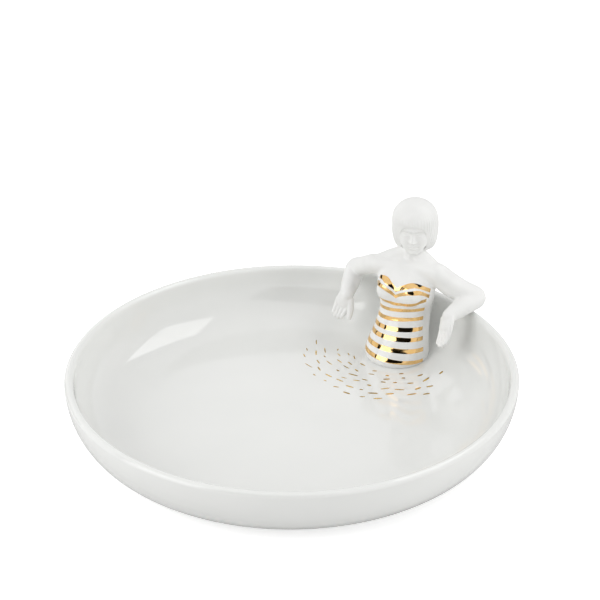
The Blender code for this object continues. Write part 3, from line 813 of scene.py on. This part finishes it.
# From 0 on the bare head to 1 on the hair, for points in the head's own shares
def hairCover(local):
    strands = headShape["strands"]
    heights, widths, fronts, backs = zip(*headShape["hair"])
    level = local[:, 2]
    half, front, back = (numpy.interp(level, heights, run) for run in (widths, fronts, backs))
    middle, deep = depths(front, back)
    reach = numpy.hypot(local[:, 0] / half, (local[:, 1] - middle) / deep)
    (bottom, top), (least, most) = strands["zone"], strands["reach"]
    near = (level > bottom) & (level < top) & (reach > least) & (reach < most)
    face = faceMesh()
    skull = BVHTree.FromPolygons([vertex.co / headShape["height"] for vertex in face.vertices],
                                 [tuple(polygon.vertices) for polygon in face.polygons])
    cover = numpy.zeros(len(local))
    for index in numpy.nonzero(near)[0]:
        place, normal, polygon, off = skull.find_nearest(Vector(local[index]))
        if normal.dot(Vector(local[index]) - place) > 0:
            cover[index] = min(max((off - strands["stand"]) / strands["blend"], 0), 1)
    return cover


# Moves the skin in and out along strands of hair, and gives its new points
def combHair(mesh):
    strands, points = headShape["strands"], vertexRows(mesh, "co")
    pose = numpy.array(headPose().inverted())
    local = (points @ pose[:3, :3].T + pose[:3, 3]) / headShape["height"]
    around, level = numpy.arctan2(local[:, 0], -local[:, 1] + strands["middle"]), local[:, 2]
    sway = numpy.sin(strands["sway"] * around)
    coarse = numpy.sin(strands["count"] * around + strands["slant"] * level + sway)
    fineCount = strands["fineCount"] * strands["count"]
    fine = numpy.sin(fineCount * around + strands["fineSlant"] * level + strands["fineStart"])
    wave = coarse + strands["fineShare"] * fine
    fade = numpy.clip((strands["crown"] - level) / strands["crownFade"], 0, 1)
    amount = strands["depth"] * headShape["height"] * wave * hairCover(local) * fade
    points = points + vertexRows(mesh, "normal") * amount[:, None]
    mesh.vertices.foreach_set("co", points.ravel())
    mesh.update()
    return points


# Gold bands: lines round the torso are heights above the floor by the angle from straight ahead

bandShape = {
    "width": 0.0018,
    "sweep": 80.0,
    "lift": 0.00005,
    "sunk": 0.0001,
    "columns": 220,
    "rows": 12,
    "torsoReach": 1.077,
    "softenings": 6,
    "edge": 0.05,
    # how many waves run along a band's edge, and the range of their rates, starts and sizes
    "waves": (5, (2, 9), (0, 6.3), (0.3, 1)),
    # dip, lobe over the bust, drop to the arms, reach right and left
    "neckline": (0.754, 0.074, 0.033, 0.74, 0.97),
    "bust": (0.687, 0.087, 0.036, 0.93, 0.97),
    # height, rise to the left, drop at the sides, dip in the middle, reach right and left
    "waist": (
        (0.620, 0.021, -0.020, 0.024, 0.92, 0.90), (0.522, 0.037, 0.010, 0, 0.88, 0.88),
        (0.424, 0.029, 0.008, 0, 0.89, 0.89), (0.334, 0.017, 0.010, 0, 0.92, 0.92),
        (0.255, 0.006, 0.015, 0, 0.96, 0.96), (0.168, 0.000, 0.025, 0, 0.99, 0.99),
        (0.081, -0.015, 0.033, 0, 1.00, 1.00),
    ),
}


def curvedLine(shares):
    dip, lobe, drop = (share * figureShape["torsoHeight"] for share in shares[:3])
    return lambda turn: dip + lobe * abs(math.sin(2 * turn)) - drop * math.sin(turn) ** 4


def straightLine(shares):
    height, rise, drop, dip = (share * figureShape["torsoHeight"] for share in shares[:4])
    return lambda turn: (height + rise * math.sin(turn) - drop * (1 - math.cos(turn))
                         - dip * math.cos(turn) ** 8)


# Marks the skin below the neckline, which is glazed
def markSuit(mesh, points):
    place = points - numpy.array(figureOrigin)
    turn = numpy.arctan2(place[:, 0], -(place[:, 1] - torsoLean(place[:, 2])))
    line = curvedLine(bandShape["neckline"])
    top = numpy.array([line(value) for value in turn])
    reach = figureShape["suitReach"] * figureShape["baseRadius"]
    inside = (place[:, 2] < top) & (numpy.abs(place[:, 0]) < reach)
    mesh.attributes.new("suit", "FLOAT", "POINT").data.foreach_set("value", inside.astype(float))


def makeFigure():
    mesh = figureSkin()
    markSuit(mesh, combHair(mesh))
    figure = newPiece("porcelainFigure", thinned(mesh, figureShape["triangles"]), satin)
    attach(figure, "root")
    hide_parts("figure_torso", "figure_left_arm", "figure_right_arm", "figure_head")
    return figure


figure = makeFigure()
print("figure cast:", len(figure.data.polygons), "faces")


def torsoTree():
    limit = bandShape["torsoReach"] * figureShape["baseRadius"]
    faces = [tuple(face.vertices) for face in figure.data.polygons
             if abs(face.center.x - figureOrigin.x) < limit]
    return BVHTree.FromPolygons([vertex.co for vertex in figure.data.vertices], faces)


# The leaning axis, the way out from it and the skin's distance
def skinReach(tree, turn, height):
    axis = fromFloor((0, torsoLean(height), height))
    outward = Vector((math.sin(turn), -math.cos(turn), 0))
    start = 2 * figureShape["baseRadius"]
    place, normal, face, distance = tree.ray_cast(axis + outward * start, -outward, start)
    return axis, outward, (start - distance if place else None)


def softened(grid, passes):
    for step in range(passes):
        padded = numpy.pad(grid, 1, mode="edge")
        grid = (padded[1:-1, :-2] + padded[1:-1, 2:] + padded[:-2, 1:-1] + padded[2:, 1:-1] + 4 * grid) / 8
    return grid


def goldBand(name, node, tree, line, reaches, seed):
    pick = random.Random(seed)
    count, *ranges = bandShape["waves"]
    waves = [[pick.uniform(*limits) for limits in ranges] for index in range(count)]
    right, left = (share * math.radians(bandShape["sweep"]) for share in reaches)
    columns, rows = bandShape["columns"], bandShape["rows"]
    turns = numpy.linspace(-right, left, columns + 1)
    grid, frames = numpy.zeros((rows + 1, columns + 1)), {}
    for row in range(rows + 1):
        for column, turn in enumerate(turns):
            wobble = sum(size * math.sin(rate * turn + start) for rate, start, size in waves)
            width = bandShape["width"] * (1 + bandShape["edge"] * wobble / 2)
            height = line(turn) + width * (row / rows - 0.5)
            axis, outward, reach = skinReach(tree, turn, height)
            frames[row, column] = (axis, outward)
            grid[row, column] = reach if reach else grid[row, column - 1]
    grid = softened(grid, bandShape["softenings"])
    above, below, points, faces = [], [], [], []
    for place, (axis, outward) in frames.items():
        above.append(axis + outward * (grid[place] + bandShape["lift"]))
        below.append(axis + outward * (grid[place] - bandShape["sunk"]))
    addLayer(points, faces, above, below, columns + 1)
    band = layerPiece(name, points, faces, gold)
    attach(band, "root")
    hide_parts(node)


def makeBands():
    tree = torsoTree()
    bands = [("necklineBand", "gold_neckline_band", curvedLine, bandShape["neckline"]),
             ("bustBand", "gold_bust_band", curvedLine, bandShape["bust"])]
    bands += [(f"suitBand{number}", f"gold_band_{number}", straightLine, shares)
              for number, shares in enumerate(bandShape["waist"], 1)]
    for seed, (name, node, line, shares) in enumerate(bands, 1):
        goldBand(name, node, tree, line(shares), shares[-2:], seed)


makeBands()
print("gold bands laid")


# Gold dashes brushed on the floor in rings round the figure

dashShape = {
    "seed": 11,
    # distance from the figure's middle, then where each ring of dashes starts and ends
    "rings": (
        (0.0215, -52, 40), (0.0252, -60, 66), (0.0298, -68, 74),
        (0.0347, -68, 63), (0.0402, -78, 52), (0.0455, -66, 18),
    ),
    "lengths": (0.0018, 0.0052),
    "gaps": (0.0022, 0.0064),
    "stray": 0.0013,
    "slope": (-0.50, 0.12),
    "width": 0.00118,
    "widths": (0.8, 1.15),
    "widest": 31,
    "thinning": 0.29,
    "lift": 0.00003,
    "edgeLift": 0.00001,
    "blunt": 0.03,
    "points": 14,
}


def makeDashes():
    pick = random.Random(dashShape["seed"])
    tree = BVHTree.FromPolygons([vertex.co for vertex in bowl.data.vertices],
                                [tuple(face.vertices) for face in bowl.data.polygons])
    down, count = Vector((0, 0, -1)), dashShape["points"]
    lift, edgeLift = dashShape["lift"], dashShape["edgeLift"]
    points, faces = [], []
    for ring, begin, end in dashShape["rings"]:
        turn = math.radians(begin)
        while turn < math.radians(end):
            length = pick.uniform(*dashShape["lengths"])
            radius = ring + pick.uniform(-1, 1) * dashShape["stray"]
            slope = pick.uniform(*dashShape["slope"])
            width = dashShape["width"] * pick.uniform(*dashShape["widths"])
            width *= 1 - dashShape["thinning"] * abs(turn - math.radians(dashShape["widest"]))
            above, below = [], []
            for index in range(count + 1):
                along = index / count
                angle = turn + along * length / radius
                distance = radius + (along - 0.5) * length * slope
                half = width / 2 * max(1 - abs(2 * along - 1) ** 3, dashShape["blunt"]) ** 0.5
                across = ((-half, edgeLift), (0, lift), (half, edgeLift))
                for edge, rise in across:
                    x = figureOrigin.x + (distance + edge) * math.sin(angle)
                    y = figureOrigin.y - (distance + edge) * math.cos(angle)
                    place, normal, face, depth = tree.ray_cast(Vector((x, y, bowlShape["height"])), down)
                    above.append(place + normal * rise)
                    below.append(place - normal * lift)
            addLayer(points, faces, above, below, len(across))
            turn += (length + pick.uniform(*dashShape["gaps"])) / radius
    dashes = layerPiece("floorDashes", points, faces, paintedGold)
    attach(dashes, "root")
    return dashes


dashes = makeDashes()
print("floor dashes brushed:", len(dashes.data.polygons), "faces")


# Studio

studio = {
    "surround": 0.52,
    "floor": {
        "half": 4, "sink": 0.0001,
        "tone": 0.80, "darkest": 0.99, "grain": 0.4, "roughness": 0.9, "glow": 0.60,
    },
    "middle": (0.01, 0.07, 0.03),
    "lampDistance": 1.2,
    # azimuth, elevation, size, power, whether the glaze and the gold mirror it
    "lamps": {
        "keySoftbox": (-32, 31, (0.78, 0.90), 5.6, True),
        "rightSoftbox": (140, 57, (0.85, 0.55), 2.9, True),
        "lowSoftbox": (104, 17, (1.3, 0.5), 3.8, False),
        "sideSoftbox": (84, 4, (0.6, 0.5), 2.2, False),
        "leftSoftbox": (-84, 24, (0.9, 0.6), 2.3, False),
    },
    "cardDistance": 1.4,
    "cardFinish": {"darkest": 0.8, "grain": 0.2, "roughness": 0.8},
    # azimuth, elevation, size, tone: seen in the glaze and the gold alone
    "cards": {
        "blackCard": (-6, 34, (3.1, 1.1), 0.01),
        "sideCard": (-93, 3.5, (0.66, 0.42), 0.02),
    },
}


def panelMesh(name, wide, tall):
    corners = [(-wide, -tall, 0), (wide, -tall, 0), (wide, tall, 0), (-wide, tall, 0)]
    return newMesh(name, corners, [(0, 1, 2, 3)])


# The camera sees the floor brighter than it is lit
def makeFloor():
    look = studio["floor"]
    board = NodeBoard("paleFloor")
    board.grey(look["tone"], look["darkest"], look["grain"])
    board.fix("Roughness", look["roughness"])
    board.fix("Emission Color", (1, 1, 1, 1))
    seen = board.add("ShaderNodeLightPath").outputs["Is Camera Ray"]
    board.feed("Emission Strength", board.spread(seen, 0, look["glow"], 0, 1))
    floor = newPiece("floor", panelMesh("floor", look["half"], look["half"]), board.finish)
    floor.location.z = -look["sink"]


# Full white to the camera and in reflections, and dimmer as a light
def makeSurround():
    world = bpy.data.worlds.new("surround")
    bpy.context.scene.world = world
    world.use_nodes = True
    tree = world.node_tree
    path = tree.nodes.new("ShaderNodeLightPath")
    most = path.outputs["Is Camera Ray"]
    for name in ("Is Glossy Ray", "Is Transmission Ray"):
        pair = tree.nodes.new("ShaderNodeMath")
        pair.operation = "MAXIMUM"
        tree.links.new(most, pair.inputs[0])
        tree.links.new(path.outputs[name], pair.inputs[1])
        most = pair.outputs[0]
    level = tree.nodes.new("ShaderNodeMapRange")
    level.inputs["To Min"].default_value = studio["surround"]
    level.inputs["To Max"].default_value = 1
    tree.links.new(most, level.inputs["Value"])
    back = tree.nodes["Background"]
    tree.links.new(level.outputs["Result"], back.inputs["Strength"])
    back.inputs["Color"].default_value = (1, 1, 1, 1)


# Turns a panel's face to the figure
def setPanel(panel, azimuth, elevation, distance):
    away = direction(azimuth, elevation)
    panel.location = Vector(studio["middle"]) + away * distance
    panel.rotation_mode = "QUATERNION"
    panel.rotation_quaternion = (-away).to_track_quat("-Z", "Y")


def makeLamps():
    for name, (azimuth, elevation, size, power, mirrored) in studio["lamps"].items():
        light = bpy.data.lights.new(name, "AREA")
        light.shape = "RECTANGLE"
        light.size, light.size_y = size
        light.energy = power
        holder = placed(name, light)
        holder.visible_glossy = mirrored
        setPanel(holder, azimuth, elevation, studio["lampDistance"])


def makeCards():
    look = studio["cardFinish"]
    for name, (azimuth, elevation, size, tone) in studio["cards"].items():
        board = NodeBoard(name)
        board.grey(tone, look["darkest"], look["grain"])
        board.fix("Roughness", look["roughness"])
        board.fix("Specular IOR Level", 0)
        piece = newPiece(name, panelMesh(name, *(side / 2 for side in size)), board.finish)
        setPanel(piece, azimuth, elevation, studio["cardDistance"])
        piece.visible_camera = piece.visible_diffuse = piece.visible_shadow = False


makeFloor()
makeSurround()
makeLamps()
makeCards()
bpy.context.scene.view_settings.view_transform = "Standard"
print("studio lit")
